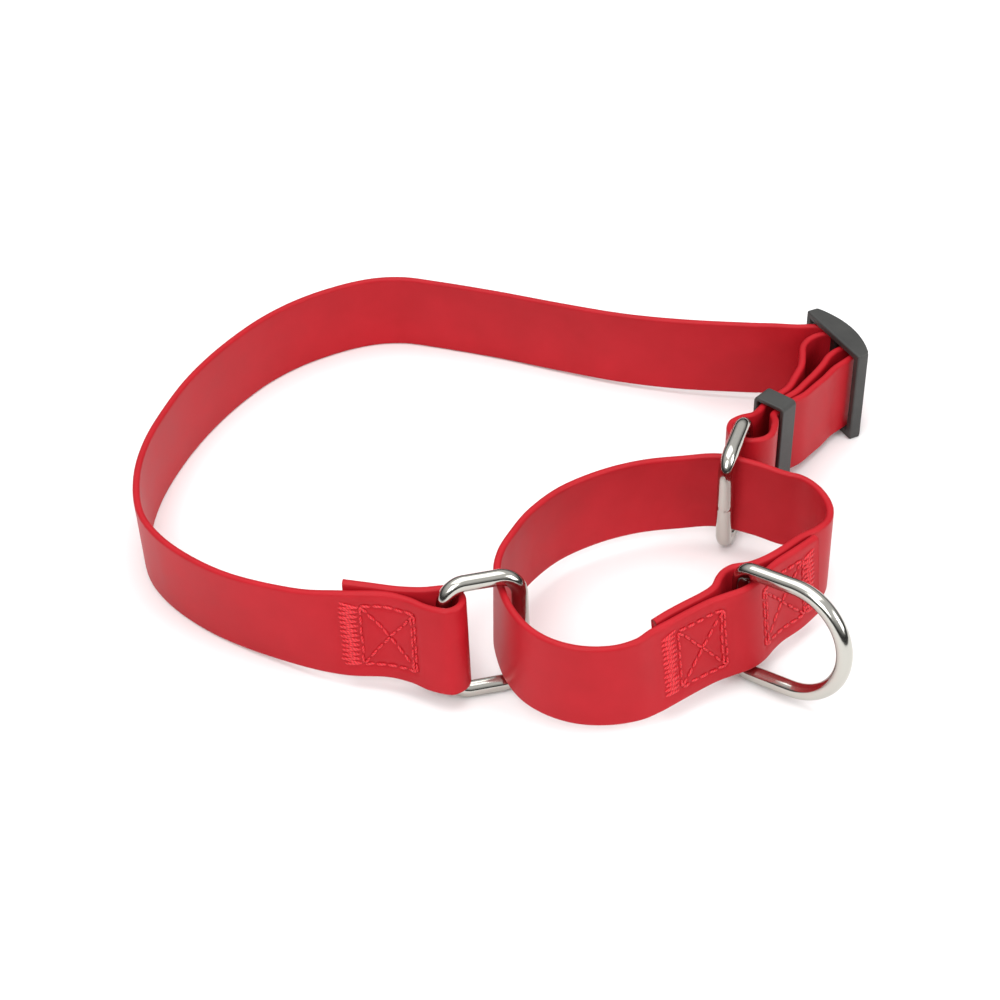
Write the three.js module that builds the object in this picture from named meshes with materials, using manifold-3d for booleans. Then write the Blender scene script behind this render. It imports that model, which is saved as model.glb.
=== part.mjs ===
// Martingale collar: a coated neck strap, a sewn control loop, three wire rings,
// a three-bar slider and a strap keeper. Millimetres, +Z up, the straps stand on edge.

import * as THREE from "three";
import { TessellateModifier } from "three/addons/modifiers/TessellateModifier.js";
import { mergeVertices } from "three/addons/utils/BufferGeometryUtils.js";
import Module from "manifold-3d";

const wasm = await Module();
wasm.setup();

// ---- Driving dimensions ----------------------------------------------------

const STRAP_WIDTH = 25;
const STRAP_THICKNESS = 2;
const STRAP_STEP = 2.5;

const WIRE_RADIUS = 2.2;
const WIRE_SIDES = 16;
const RING_STEPS = 70;
const RING_HEIGHT = 31.6;
const RING_WIDTH = 20;
const RING_CORNER = 5.5;
const D_HEIGHT = 31;
const D_LEG = 16.2;
const D_CORNER = 3.8;

const LEFT_RING = { centre: [-7.1, -69.8, 17.8], heading: 15, lean: 10.5 };
const RIGHT_RING = { centre: [62.4, -6.3, 18.4], heading: 70.5, tilt: 6 };
const D_RING = { centre: [59.5, -63.1, 17.2], heading: -38.6, lean: 5.6, tilt: 6.4 };

const SLIDER = {
  centre: [95, 50.4],
  heading: -63,
  halfLength: 13.8,
  height: 30,
  wall: 2.2,
  endDepth: 3.8,
  bowDepth: 7.2,
  barWidth: 2.4,
  inset: 0.3,
  centreBar: [1.5, 0.3, 2.5],
};

const KEEPER = {
  centre: [75.4, 18.6],
  heading: 48.6,
  across: 10.4,
  along: 6.4,
  height: 28.6,
  wall: 1.3,
  base: 0.7,
};

const THREAD = 0.4;
const BOX_STITCH = { length: 15.5, height: 17, line: 0.8 };
const BARTACK = { length: 5.2, height: 18, teeth: 9, line: 0.7 };

const STITCHES = {
  neckBox: 48.5,
  neckBartack: 66,
  leftBox: 266,
  leftBartack: 260,
  rightBox: 293.5,
  rightBartack: 310.4,
};

const RED = 0xc9343a;
const THREAD_RED = 0xe8323c;
const NICKEL = 0xc9c9c6;
const BLACK = 0x2a2a2b;

// ---- Small helpers ---------------------------------------------------------

const radians = THREE.MathUtils.degToRad;

/** A plan point u along a heading (in degrees) and v to its left, counted from an origin. */
function fromPlace(origin, heading, u, v) {
  const turn = radians(heading);
  const x = origin[0] + u * Math.cos(turn) - v * Math.sin(turn);
  const y = origin[1] + u * Math.sin(turn) + v * Math.cos(turn);
  return [x, y];
}

/** A knot beside the slider: u along its inner chord, v outward from it. */
function atSlider(u, v, base = 2.5) {
  return [...fromPlace(SLIDER.centre, SLIDER.heading, u, v), base, 0, 0];
}

/** A knot beside the keeper: u along the straps in it, v towards the inside of the collar. */
function atKeeper(u, v, base = 2.5) {
  return [...fromPlace(KEEPER.centre, KEEPER.heading, u, v), base, 0, 0];
}

/** Route points on an arc: centre, radius, first and last angle in degrees, and the strap's set there. */
function arcKnots(centre, radius, first, last, count, base, lean) {
  const knots = [];
  for (let i = 0; i <= count; i += 1) {
    const angle = radians(first + ((last - first) * i) / count);
    const x = centre[0] + radius * Math.cos(angle);
    const y = centre[1] + radius * Math.sin(angle);
    knots.push([x, y, base, ...lean]);
  }
  return knots;
}

/**
 * The route of a strap on edge. Each knot is the middle of the strap's section seen from above,
 * the height of its lower edge, and how far the upper edge leans from the lower one in x and y.
 */
class StrapRoute {
  constructor(knots) {
    const places = knots.map(([x, y, base]) => new THREE.Vector3(x, y, base));
    const leans = knots.map(([x, y, base, dx, dy]) => new THREE.Vector3(dx, dy, 0));
    this.middle = new THREE.CatmullRomCurve3(places);
    this.lean = new THREE.CatmullRomCurve3(leans);
    this.middle.curveType = "catmullrom";
    this.middle.tension = 0.5;
    this.lean.curveType = "catmullrom";
    this.middle.arcLengthDivisions = knots.length * 24;
    this.length = this.middle.getLength();
  }

  /** The point at a distance along the route, a height on the strap and a distance off its middle. */
  place(distance, height, offset) {
    const share = THREE.MathUtils.clamp(distance / this.length, 0, 1);
    const t = this.middle.getUtoTmapping(share);
    const point = this.middle.getPoint(t);
    const along = this.middle.getTangent(t);
    const side = new THREE.Vector3(-along.y, along.x, 0).normalize();
    const lean = this.lean.getPoint(t);
    const rise = height / STRAP_WIDTH - 0.5;
    return new THREE.Vector3(
      point.x + side.x * offset + lean.x * rise,
      point.y + side.y * offset + lean.y * rise,
      point.z + height,
    );
  }
}

/** Lays a flat shape (x along the strap, y off its face, z up it) along a route. */
function bendAlong(geometry, route) {
  const spots = geometry.getAttribute("position");
  for (let i = 0; i < spots.count; i += 1) {
    const bent = route.place(spots.getX(i), spots.getZ(i), spots.getY(i));
    spots.setXYZ(i, bent.x, bent.y, bent.z);
  }
  geometry.computeVertexNormals();
  return geometry;
}

function strap(route) {
  const steps = Math.round(route.length / STRAP_STEP);
  const strip = new THREE.BoxGeometry(route.length, STRAP_THICKNESS, STRAP_WIDTH, steps, 1, 1);
  strip.translate(route.length / 2, 0, STRAP_WIDTH / 2);
  return bendAlong(strip, route);
}

function toSolid(geometry) {
  const bare = geometry.index ? geometry.toNonIndexed() : geometry.clone();
  bare.deleteAttribute("normal");
  bare.deleteAttribute("uv");
  const merged = mergeVertices(bare, 1e-4);
  const mesh = new wasm.Mesh({
    numProp: 3,
    vertProperties: new Float32Array(merged.getAttribute("position").array),
    triVerts: new Uint32Array(merged.index.array),
  });
  return new wasm.Manifold(mesh);
}

function toGeometry(solid) {
  const mesh = solid.getMesh();
  const geometry = new THREE.BufferGeometry();
  const spots = new Float32Array(mesh.vertProperties);
  geometry.setAttribute("position", new THREE.BufferAttribute(spots, 3));
  geometry.setIndex(new THREE.BufferAttribute(new Uint32Array(mesh.triVerts), 1));
  geometry.computeVertexNormals();
  return geometry;
}

function named(name, geometry, color, roughness, metalness = 0) {
  const material = new THREE.MeshStandardMaterial({ color, roughness, metalness });
  const mesh = new THREE.Mesh(geometry, material);
  mesh.name = name;
  return mesh;
}

// ---- Straps ----------------------------------------------------------------

const ringLean = [-1.2, 4.4];
const leftFold = [-16.6, -72.4];

const neckRoute = new StrapRoute([
  [-43, -64.9, 4.9, ...ringLean],
  [-36, -66.3, 4.9, ...ringLean],
  [-29, -67.7, 4.9, ...ringLean],
  [-22.5, -68.1, 4.9, ...ringLean],
  ...arcKnots(leftFold, 4.6, 90, -90, 6, 5.3, ringLean),
  [-21.5, -74.9, 4.9, ...ringLean],
  [-26.5, -71.7, 4.8, ...ringLean],
  [-33, -69.2, 4.5, ...ringLean],
  [-44, -67.3, 3.3, -1.2, 4],
  [-56, -63, 1.6, -0.4, 1.2],
  [-72, -55.2, 0.4, -0.7, -1],
  [-84, -47, 0, -1.3, -1.3],
  [-94, -37, 0, -1.6, -1.2],
  [-100.2, -25.9, 0, -1.5, -0.5],
  [-102.9, -11, 0, -0.8, 0],
  [-102.2, 4, 0, -0.4, 0],
  [-98.9, 19, 0, 0, 0],
  [-93.2, 35.7, 0, 0, 0],
  [-85, 52, 0, 0.4, -0.3],
  [-74.3, 67.3, 0, 0.7, -0.7],
  [-62, 78.6, 0, 0.7, -0.9],
  [-47, 86.9, 0, 0.4, -1.1],
  [-34.5, 89.2, 0, 0, -1.2],
  [-22, 86.6, 0, -0.3, -1.2],
  [-3, 80.7, 0.1, -0.4, -1.1],
  [15.5, 73.6, 0.5, -0.3, -0.8],
  [34, 67, 1, 0, -0.4],
  [52, 62.7, 1.6, 0, 0],
  [70.5, 60.1, 2.2, 0, 0],
  [79, 59.2, 2.5, 0, 0],
  [85.6, 58.6, 2.5, 0, 0],
  atSlider(-9.8, -0.8),
  atSlider(-8.4, 1.7),
  atSlider(-6.8, 4),
  atSlider(-4.7, 5.9),
  atSlider(-2.3, 7),
  atSlider(0, 7.3),
  atSlider(2.3, 7),
  atSlider(4.7, 5.9),
  atSlider(6.8, 4.2),
  atSlider(8.6, 2.1),
  atSlider(9.7, -0.4),
  atSlider(10.6, -3.2),
  atSlider(12, -7),
  atSlider(14.5, -11.6),
  atSlider(16.8, -16.6),
  atSlider(19, -21.6),
  atKeeper(5, -2.6),
  atKeeper(0, -2.4),
  atKeeper(-4, -2.5, 2.7),
  [74.5, 9, 4.1, 0, 0],
  [73.8, 4.2, 5.5, 0, 0],
  [72.6, 0, 6, 0, 0],
  [70, -2.5, 6.1, 0, 0],
  [66.4, -3.2, 6.1, 0, 0],
  [63, -1.7, 6.1, 0, 0],
  [61.2, 1.7, 6.1, 0, 0],
  [62, 5.5, 6, 0, 0],
  [64.8, 8.4, 5.6, 0, 0],
  [68, 10.9, 4.6, 0, 0],
  [70, 14.2, 3.3, 0, 0],
  atKeeper(-1, 2.4),
  atKeeper(4, 2.4),
  atSlider(13.8, -23.8),
  atSlider(10, -18.9),
  atSlider(5.9, -14.2),
  atSlider(1.8, -11.2),
  atSlider(-1.8, -8.7),
  atSlider(-4, -5.6),
  atSlider(-4.9, -2),
  atSlider(-4.3, 1.3),
  atSlider(-3, 3.5),
  atSlider(-1.5, 4.6),
  atSlider(0, 4.9),
  atSlider(1.5, 4.6),
  atSlider(3, 3.5),
  atSlider(4, 1.3),
  atSlider(4.6, -1.8),
  atSlider(6, -5),
  atSlider(8.6, -8.6),
  atSlider(11.3, -13),
  atSlider(14, -18),
  atSlider(16.5, -22.8),
  atKeeper(3.4, 0),
]);

const POCKET_HEADING = 38;

/** A knot beside the D-ring's bar: u along the strap, v and the lean towards the inside of the loop. */
function atPocket(u, v, base = 5.2, lean = 4) {
  const knot = fromPlace(D_RING.centre, POCKET_HEADING, u, v);
  return [...knot, base, ...fromPlace([0, 0], POCKET_HEADING, 0, lean)];
}

const controlRoute = new StrapRoute([
  atPocket(-28.3, 0.4, 5),
  atPocket(-23.2, 0.6),
  atPocket(-17.5, 0.6),
  atPocket(-11.5, 0.5),
  atPocket(-7.2, 1),
  atPocket(-3.6, 3),
  atPocket(-0.5, 4.1),
  atPocket(2.6, 3.9),
  atPocket(6.2, 2.2),
  atPocket(11, 1.4),
  atPocket(17, 1.5),
  atPocket(24.9, 2.9, 5, 3),
  [81.9, -41.2, 4.8, -1.2, 1],
  [84.8, -36.6, 4.8, -0.4, 0.2],
  [85.4, -30.6, 4.8, 0, 0],
  [83.4, -23.8, 4.8, 0, 0],
  [79.6, -18.8, 4.8, 0, 0],
  [74.2, -16.2, 4.8, 0, 0],
  [67, -13.1, 5.6, 0, 0],
  [57.5, -10.1, 5.9, 0, 0],
  [47.1, -9.7, 4.8, 0, 0],
  [36, -11.6, 4.8, 0, 0],
  [24.6, -16.1, 4.8, 0, 0],
  [13.4, -23.6, 4.8, 0, 0],
  [5.2, -33.2, 4.8, 0, 0],
  [0, -43, 4.8, 0, 0],
  [-2.8, -50.2, 4.8, 0, 0],
  [-3.8, -57.6, 4.8, 0, 0],
  [-2.8, -65.6, 5.1, 0.3, 0],
  [-0.6, -73.4, 5.1, 0.5, 0.2],
  [3.5, -80.6, 4.8, 0.5, 0.5],
  [9.5, -86, 4.8, 0.2, 0.7],
  [17, -89, 4.8, 0, 1],
  [25, -89.2, 4.8, -0.4, 1.4],
  [31.8, -87.2, 4.9, -1.5, 2.2],
  atPocket(-30.9, -2.2, 5),
  atPocket(-24.7, -2.4),
  atPocket(-17.9, -2.4),
  atPocket(-11.5, -2.7),
  atPocket(-6.5, -3.6),
  atPocket(-2.5, -4.4),
  atPocket(1, -4.5),
  atPocket(4.5, -3.8),
  atPocket(8.4, -2.5),
  atPocket(13, -1.5),
  atPocket(19.9, -0.9),
  atPocket(27.8, 0.5, 5, 3),
]);

// ---- Wire rings ------------------------------------------------------------

/** Bends a torus of round wire onto a closed anticlockwise path in the XZ plane. */
function wireLoop(path, steps) {
  const torus = new THREE.TorusGeometry(10, WIRE_RADIUS, WIRE_SIDES, steps);
  const spots = torus.getAttribute("position");
  const turns = torus.getAttribute("uv");
  for (let i = 0; i < spots.count; i += 1) {
    const share = turns.getX(i) % 1;
    const around = 2 * Math.PI * turns.getY(i);
    const point = path.getPointAt(share);
    const along = path.getTangentAt(share);
    const out = WIRE_RADIUS * Math.cos(around);
    spots.setXYZ(i, point.x + along.z * out, -WIRE_RADIUS * Math.sin(around), point.z - along.x * out);
  }
  torus.computeVertexNormals();
  return torus;
}

function closedPath(points) {
  return new THREE.CatmullRomCurve3(points, true, "catmullrom", 0.5);
}

/** Points of a corner: centre, radius and the quarter turn that starts at the given angle. */
function cornerPoints(x, z, radius, start, turn, count) {
  const points = [];
  for (let i = 0; i <= count; i += 1) {
    const angle = radians(start + (turn * i) / count);
    points.push(new THREE.Vector3(x + radius * Math.cos(angle), 0, z + radius * Math.sin(angle)));
  }
  return points;
}

/** The closed centre line of a rectangular ring, centred, with its long bars upright. */
function rectanglePath() {
  const x = RING_WIDTH / 2 - RING_CORNER;
  const z = RING_HEIGHT / 2 - RING_CORNER;
  const bar = new THREE.Vector3(RING_WIDTH / 2, 0, 0);
  const low = new THREE.Vector3(0, 0, -RING_HEIGHT / 2);
  return closedPath([
    ...cornerPoints(x, -z, RING_CORNER, -90, 90, 4),
    bar,
    ...cornerPoints(x, z, RING_CORNER, 0, 90, 4),
    low.clone().negate(),
    ...cornerPoints(-x, z, RING_CORNER, 90, 90, 4),
    bar.clone().negate(),
    ...cornerPoints(-x, -z, RING_CORNER, 180, 90, 4),
    low,
  ]);
}

/** The closed centre line of the D-ring: its straight bar is on the Z axis. */
function dPath() {
  const half = D_HEIGHT / 2;
  return closedPath([
    new THREE.Vector3(0, 0, half / 2),
    new THREE.Vector3(0, 0, -half / 2),
    ...cornerPoints(D_CORNER, -half + D_CORNER, D_CORNER, 180, 90, 4),
    new THREE.Vector3((D_CORNER + D_LEG) / 2, 0, -half),
    ...cornerPoints(D_LEG, 0, half, -90, 180, 12),
    new THREE.Vector3((D_CORNER + D_LEG) / 2, 0, half),
    ...cornerPoints(D_CORNER, half - D_CORNER, D_CORNER, 90, 90, 4),
  ]);
}

/** A wire ring turned to its heading, leaning away from it and tilted along it. */
function wireRing(name, path, place) {
  const ring = named(name, wireLoop(path, RING_STEPS), NICKEL, 0.15, 1);
  ring.position.set(...place.centre);
  ring.rotation.set(-radians(place.lean ?? 0), -radians(place.tilt ?? 0), radians(place.heading), "ZXY");
  return ring;
}

// ---- Slider and keeper -----------------------------------------------------

/** The bow-shaped end wall: a straight inner chord and an arched outer edge. */
function sliderOutline() {
  const { halfLength, endDepth, bowDepth } = SLIDER;
  const outline = new THREE.Shape();
  outline.moveTo(-halfLength, 0);
  outline.lineTo(halfLength, 0);
  outline.lineTo(halfLength, endDepth - 1);
  outline.quadraticCurveTo(halfLength, endDepth, halfLength - 1, endDepth + 0.4);
  outline.quadraticCurveTo(0, 2 * bowDepth - endDepth - 0.4, -halfLength + 1, endDepth + 0.4);
  outline.quadraticCurveTo(-halfLength, endDepth, -halfLength, endDepth - 1);
  outline.closePath();
  return outline;
}

function sliderSolid() {
  const { halfLength, height, wall, endDepth, barWidth, inset, centreBar } = SLIDER;
  const block = new THREE.ExtrudeGeometry(sliderOutline(), {
    depth: height,
    bevelEnabled: false,
    curveSegments: 14,
  });
  const hollow = new THREE.BoxGeometry(2 * halfLength + 8, 40, height - 2 * wall);
  hollow.translate(0, 0, height / 2);
  const barHeight = height - 2 * wall + 0.4;
  const endBar = new THREE.BoxGeometry(barWidth, endDepth - 2 * inset, barHeight);
  endBar.translate(halfLength - inset - barWidth / 2, endDepth / 2, height / 2);
  const otherBar = endBar.clone().translate(barWidth + 2 * inset - 2 * halfLength, 0, 0);
  const [halfWidth, inner, outer] = centreBar;
  const middleBar = new THREE.BoxGeometry(2 * halfWidth, outer - inner, barHeight);
  middleBar.translate(0, (inner + outer) / 2, height / 2);
  let solid = toSolid(block).subtract(toSolid(hollow));
  for (const bar of [endBar, otherBar, middleBar]) {
    solid = solid.add(toSolid(bar));
  }
  return toGeometry(solid);
}

function slider() {
  const mesh = named("slider", sliderSolid(), BLACK, 0.55);
  mesh.position.set(...SLIDER.centre, 0);
  mesh.rotation.z = radians(SLIDER.heading);
  return mesh;
}

function roundedRectangle(width, depth, radius) {
  const x = width / 2;
  const y = depth / 2;
  const outline = new THREE.Shape();
  outline.moveTo(-x + radius, -y);
  outline.lineTo(x - radius, -y);
  outline.quadraticCurveTo(x, -y, x, -y + radius);
  outline.lineTo(x, y - radius);
  outline.quadraticCurveTo(x, y, x - radius, y);
  outline.lineTo(-x + radius, y);
  outline.quadraticCurveTo(-x, y, -x, y - radius);
  outline.lineTo(-x, -y + radius);
  outline.quadraticCurveTo(-x, -y, -x + radius, -y);
  return outline;
}

/** The keeper: a rectangular loop whose opening runs along the strap. */
function keeper() {
  const { across, along, height, wall, base } = KEEPER;
  const outer = new THREE.ExtrudeGeometry(roundedRectangle(across, height, 1.2), {
    depth: along,
    bevelEnabled: false,
    curveSegments: 5,
  });
  const inner = new THREE.BoxGeometry(across - 2 * wall, height - 2 * wall, 4 * along);
  const shell = toGeometry(toSolid(outer).subtract(toSolid(inner)));
  shell.translate(0, 0, -along / 2);
  shell.rotateX(Math.PI / 2);
  shell.rotateZ(Math.PI / 2);
  const mesh = named("keeper", shell, BLACK, 0.55);
  mesh.position.set(...KEEPER.centre, base + height / 2);
  mesh.rotation.z = radians(KEEPER.heading);
  return mesh;
}

// ---- Stitching -------------------------------------------------------------

/** A sewn box with a cross in it, as one flat body of thread lines. */
function boxStitchOutline() {
  const { length, height, line } = BOX_STITCH;
  const outline = new THREE.Shape();
  outline.moveTo(0, 0);
  outline.lineTo(length, 0);
  outline.lineTo(length, height);
  outline.lineTo(0, height);
  outline.closePath();
  const x = length / 2;
  const y = height / 2;
  const triangles = [
    [0, -1],
    [1, 0],
    [0, 1],
    [-1, 0],
  ];
  for (const [dx, dy] of triangles) {
    const reachX = x - line;
    const reachY = y - line;
    const tip = 1.5 * line;
    const hole = new THREE.Path();
    hole.moveTo(x + dx * tip, y + dy * tip);
    hole.lineTo(x + dx * reachX + dy * (reachX - line), y + dy * reachY - dx * (reachY - line));
    hole.lineTo(x + dx * reachX - dy * (reachX - line), y + dy * reachY + dx * (reachY - line));
    hole.closePath();
    outline.holes.push(hole);
  }
  return outline;
}

/** A bartack: a dense zigzag of thread up the strap, with a toothed edge on each side. */
function bartackOutline() {
  const { length, height, teeth, line } = BARTACK;
  const pitch = height / teeth;
  const outline = new THREE.Shape();
  outline.moveTo(line, 0);
  for (let i = 0; i < teeth; i += 1) {
    outline.lineTo(length, (i + 0.5) * pitch);
    outline.lineTo(length - line, (i + 1) * pitch);
  }
  for (let i = teeth; i > 0; i -= 1) {
    outline.lineTo(0, (i - 0.5) * pitch);
    outline.lineTo(line, (i - 1) * pitch);
  }
  return outline;
}

/** Lays a flat stitch outline on a strap: start along it, height up it, and which face it is on. */
function stitch(name, outline, route, start, lift, face) {
  const flat = new THREE.ExtrudeGeometry(outline, { depth: THREAD, bevelEnabled: false });
  flat.rotateX(Math.PI / 2);
  const near = STRAP_THICKNESS / 2 + 0.15;
  flat.translate(start, face > 0 ? near + THREAD : -near, lift);
  const fine = new TessellateModifier(3, 8).modify(flat);
  return named(name, bendAlong(fine, route), THREAD_RED, 0.7);
}

// ---- The collar ------------------------------------------------------------

const collar = new THREE.Group();
collar.add(named("neck_strap", strap(neckRoute), RED, 0.4));
collar.add(named("control_strap", strap(controlRoute), RED, 0.4));
collar.add(wireRing("left_ring", rectanglePath(), LEFT_RING));
collar.add(wireRing("right_ring", rectanglePath(), RIGHT_RING));
collar.add(wireRing("d_ring", dPath(), D_RING));
collar.add(slider());
collar.add(keeper());
collar.add(stitch("neck_box_stitch", boxStitchOutline(), neckRoute, STITCHES.neckBox, 4.2, 1));
collar.add(stitch("neck_bartack", bartackOutline(), neckRoute, STITCHES.neckBartack, 3.8, 1));
collar.add(stitch("left_box_stitch", boxStitchOutline(), controlRoute, STITCHES.leftBox, 4.2, -1));
collar.add(stitch("left_bartack", bartackOutline(), controlRoute, STITCHES.leftBartack, 3.8, -1));
collar.add(stitch("right_box_stitch", boxStitchOutline(), controlRoute, STITCHES.rightBox, 4.2, -1));
collar.add(stitch("right_bartack", bartackOutline(), controlRoute, STITCHES.rightBartack, 3.8, -1));

export default collar;
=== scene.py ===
"""A red martingale collar: coated neck strap and sewn control loop, three wire rings, slider and keeper.

Sizes are in millimetres in the classes below and turned to metres where a mesh is made.
"""

import logging
import math
from dataclasses import dataclass, field
from enum import Enum

import bpy
import numpy as np
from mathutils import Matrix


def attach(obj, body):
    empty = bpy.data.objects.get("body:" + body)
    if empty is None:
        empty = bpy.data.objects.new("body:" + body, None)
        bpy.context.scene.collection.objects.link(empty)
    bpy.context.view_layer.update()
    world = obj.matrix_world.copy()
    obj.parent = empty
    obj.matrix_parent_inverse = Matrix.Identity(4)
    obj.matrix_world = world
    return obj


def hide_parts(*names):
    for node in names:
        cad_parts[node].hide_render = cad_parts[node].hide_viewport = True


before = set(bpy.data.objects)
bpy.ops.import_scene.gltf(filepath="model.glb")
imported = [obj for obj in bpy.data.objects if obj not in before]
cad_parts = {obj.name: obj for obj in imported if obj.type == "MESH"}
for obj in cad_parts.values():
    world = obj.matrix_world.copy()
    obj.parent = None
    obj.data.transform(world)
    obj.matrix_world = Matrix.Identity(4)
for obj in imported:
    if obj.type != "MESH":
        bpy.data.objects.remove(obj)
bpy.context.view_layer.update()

MM = 0.001
STRAP_WIDTH = 25.0
STRAP_THICKNESS = 2.0
SLIDER_CENTRE = (95.0, 50.4)
SLIDER_HEADING = -63.0
KEEPER_CENTRE = (75.4, 18.6)
KEEPER_HEADING = 48.6
D_CENTRE = (59.5, -63.1, 17.2)
POCKET_HEADING = 38.0
LEFT_FOLD = (-16.6, -72.4)
RING_LEAN = (-1.2, 4.4)

Knot = tuple[float, float, float, float, float]
log = logging.getLogger("collar")


class Slot(Enum):
    """The record's material slots."""

    WEBBING = "coated_webbing"
    WIRE = "plated_wire"
    PLASTIC = "black_plastic"
    THREAD = "thread"


# ---- Colours and shader nodes ------------------------------------------------


def linear(hex_code: str, alpha: float = 1.0) -> tuple[float, float, float, float]:
    """Turns an sRGB hex value to linear.

    Args:
        hex_code: six hex digits.
        alpha: the alpha to return.

    Returns:
        Linear red, green, blue and alpha.
    """
    parts = [int(hex_code[i : i + 2], 16) / 255 for i in (0, 2, 4)]
    rgb = [c / 12.92 if c <= 0.04045 else ((c + 0.055) / 1.055) ** 2.4 for c in parts]
    return (rgb[0], rgb[1], rgb[2], alpha)


def add_node(
    tree: bpy.types.NodeTree,
    kind: str,
    settings: dict[str, object] | None = None,
    inputs: dict[str, object] | None = None,
    stops: dict[float, tuple] | None = None,
) -> bpy.types.Node:
    """Adds a node with its settings, values and links.

    Args:
        tree: the node tree.
        kind: the node's type name.
        settings: node properties by name.
        inputs: a value or a linked output socket, by input name.
        stops: the colours of a colour ramp's two ends, by position.

    Returns:
        The new node.
    """
    node = tree.nodes.new(kind)
    for name, value in (settings or {}).items():
        setattr(node, name, value)
    for name, value in (inputs or {}).items():
        if isinstance(value, bpy.types.NodeSocket):
            tree.links.new(value, node.inputs[name])
        else:
            node.inputs[name].default_value = value
    for number, (position, colour) in enumerate((stops or {}).items()):
        node.color_ramp.elements[number].position = position
        node.color_ramp.elements[number].color = colour
    return node


def new_material(name: str, settings: dict[str, object]) -> tuple[bpy.types.Material, bpy.types.Node]:
    """Makes a material whose constants are set on the shader's own sockets.

    Args:
        name: the material and process it stands for.
        settings: shader input values by name.

    Returns:
        The material and its Principled shader node.
    """
    material = bpy.data.materials.new(name)
    material.use_nodes = True
    shader = material.node_tree.nodes["Principled BSDF"]
    for key, value in settings.items():
        shader.inputs[key].default_value = value
    return material, shader


@dataclass(frozen=True)
class CoatedWebbing:
    """Polyester webbing under a calendered TPU coat: smooth, faintly mottled, with a soft broad gloss."""

    light: str = "B21924"
    deep: str = "A7141E"
    roughness: float = 0.44
    mottle_mm: float = 14.0
    grain_mm: float = 0.45

    def material(self) -> bpy.types.Material:
        """Returns the coat's material: mottled colour, slightly uneven gloss, and a fine grain as bump."""
        material, shader = new_material(
            "TPU-coated webbing, calendered",
            {"IOR": 1.5, "Specular IOR Level": 0.18},
        )
        tree = material.node_tree
        place = add_node(tree, "ShaderNodeTexCoord").outputs["Object"]
        mottle = add_node(
            tree,
            "ShaderNodeTexNoise",
            inputs={"Vector": place, "Scale": 1 / (self.mottle_mm * MM), "Detail": 3.0, "Roughness": 0.55},
        ).outputs["Fac"]
        grain = add_node(
            tree,
            "ShaderNodeTexNoise",
            inputs={"Vector": place, "Scale": 1 / (self.grain_mm * MM), "Detail": 2.0},
        ).outputs["Fac"]
        colour = add_node(
            tree,
            "ShaderNodeValToRGB",
            inputs={"Fac": mottle},
            stops={0.3: linear(self.deep), 0.72: linear(self.light)},
        )
        tree.links.new(colour.outputs["Color"], shader.inputs["Base Color"])
        gloss = add_node(
            tree,
            "ShaderNodeMapRange",
            inputs={"Value": mottle, "To Min": self.roughness - 0.05, "To Max": self.roughness + 0.07},
        )
        tree.links.new(gloss.outputs["Result"], shader.inputs["Roughness"])
        bump = add_node(
            tree,
            "ShaderNodeBump",
            inputs={"Height": grain, "Strength": 0.1, "Distance": 0.1 * MM},
        )
        tree.links.new(bump.outputs["Normal"], shader.inputs["Normal"])
        return material


@dataclass(frozen=True)
class NickelWire:
    """Steel wire bent, welded and nickel plated: bright, with faint polishing waves."""

    colour: str = "B9B7B0"
    roughness: float = 0.12

    def material(self) -> bpy.types.Material:
        """Returns the plating's material, its gloss a little uneven as barrel polishing leaves it."""
        material, shader = new_material(
            "Nickel-plated steel wire, polished",
            {"Base Color": linear(self.colour), "Metallic": 1.0},
        )
        tree = material.node_tree
        place = add_node(tree, "ShaderNodeTexCoord").outputs["Object"]
        haze = add_node(tree, "ShaderNodeTexNoise", inputs={"Vector": place, "Scale": 350.0, "Detail": 3.0})
        gloss = add_node(
            tree,
            "ShaderNodeMapRange",
            inputs={
                "Value": haze.outputs["Fac"],
                "To Min": self.roughness - 0.05,
                "To Max": self.roughness + 0.08,
            },
        )
        tree.links.new(gloss.outputs["Result"], shader.inputs["Roughness"])
        wave = add_node(tree, "ShaderNodeTexNoise", inputs={"Vector": place, "Scale": 160.0, "Detail": 1.0})
        bump = add_node(
            tree,
            "ShaderNodeBump",
            inputs={"Height": wave.outputs["Fac"], "Strength": 0.12, "Distance": 0.2 * MM},
        )
        tree.links.new(bump.outputs["Normal"], shader.inputs["Normal"])
        return material


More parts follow.
